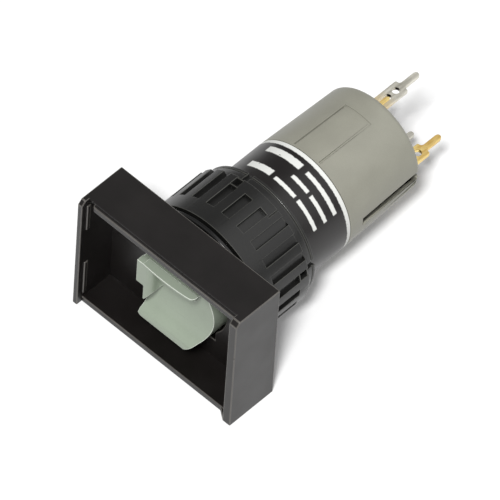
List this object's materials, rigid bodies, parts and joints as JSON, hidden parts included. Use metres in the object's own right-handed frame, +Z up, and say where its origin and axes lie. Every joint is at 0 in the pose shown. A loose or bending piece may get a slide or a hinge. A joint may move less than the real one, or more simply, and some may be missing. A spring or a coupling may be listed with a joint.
{
  "type": "self-locking push switch",
  "caption": "Latching illuminated push switch with a rectangular front, a round threaded sleeve, a fixing nut and flat rear terminals.",
  "frame": {"origin": "on the switch's axis, in the plane of the bezel's rear face, which rests on the panel", "axes": "+Y along the axis from the button to the terminals, +X along the bezel's longer side, +Z up along its shorter side"},
  "size_m": [0.024, 0.0417, 0.018],
  "materials": {
    "black_body": "black moulded plastic, satin, a little scuffed on the rims",
    "nut_black": "black moulded plastic with bright worn edges",
    "gasket_rubber": "glossy black rubber",
    "pale_green": "pale sage-green plastic, satin",
    "dark_inner": "dark plain plastic",
    "dark_base": "dark plain plastic",
    "ivory": "ivory plain plastic",
    "grey_beige": "grey-beige plastic, satin",
    "spring_steel": "plain spring wire and strip",
    "tinned": "tinned strip, satin",
    "gold_plate": "gold-plated brass strip"
  },
  "bodies": {
    "housing": {"bezel_body": "black_body", "panel_gasket": "gasket_rubber", "spring_seat": "dark_inner", "return_spring": "spring_steel", "carriage_spring": "spring_steel", "switch_housing": "grey_beige", "latch_leaf_spring": "spring_steel", "terminal_base": "dark_base", "lamp_terminal_upper": "tinned", "lamp_terminal_lower": "tinned", "contact_terminal_right": "gold_plate", "contact_terminal_left": "gold_plate"},
    "plunger": {"lens_carrier": "pale_green", "plunger_slider": "dark_inner", "lamp_socket": "ivory", "lamp_lead_upper": "gold_plate", "lamp_lead_lower": "gold_plate"},
    "carriage": {"contact_carriage": "ivory", "contact_bridge": "gold_plate"},
    "nut": {"fixing_nut": "nut_black"},
    "latch": {"latch_pin": "spring_steel"}
  },
  "joints": [
    {"name": "plunger_slide", "type": "slide", "parent": "housing", "child": "plunger", "axis": [0, 1, 0], "range_m": [0, 0.003], "stiffness_N_per_m": 600, "springref_m": -0.002, "deforming": ["return_spring"]},
    {"name": "carriage_slide", "type": "slide", "parent": "housing", "child": "carriage", "axis": [0, 1, 0], "range_m": [0, 0.003], "deforming": ["carriage_spring"]},
    {"name": "latch_pin_swing", "type": "hinge", "parent": "housing", "child": "latch", "pos_m": [-0.00475, 0.0203, 0], "axis": [-1, 0, 0], "range_deg": [0, 10]},
    {"name": "nut_spin", "type": "hinge", "parent": "housing", "child": "nut", "pos_m": [0, 0.005, 0], "axis": [0, 1, 0], "continuous": true}
  ],
  "couplings": [
    {"joint": "carriage_slide", "follows": "plunger_slide", "ratio": 1},
    {"joint": "latch_pin_swing", "follows": "plunger_slide", "rad_per_m": 56.9}
  ]
}
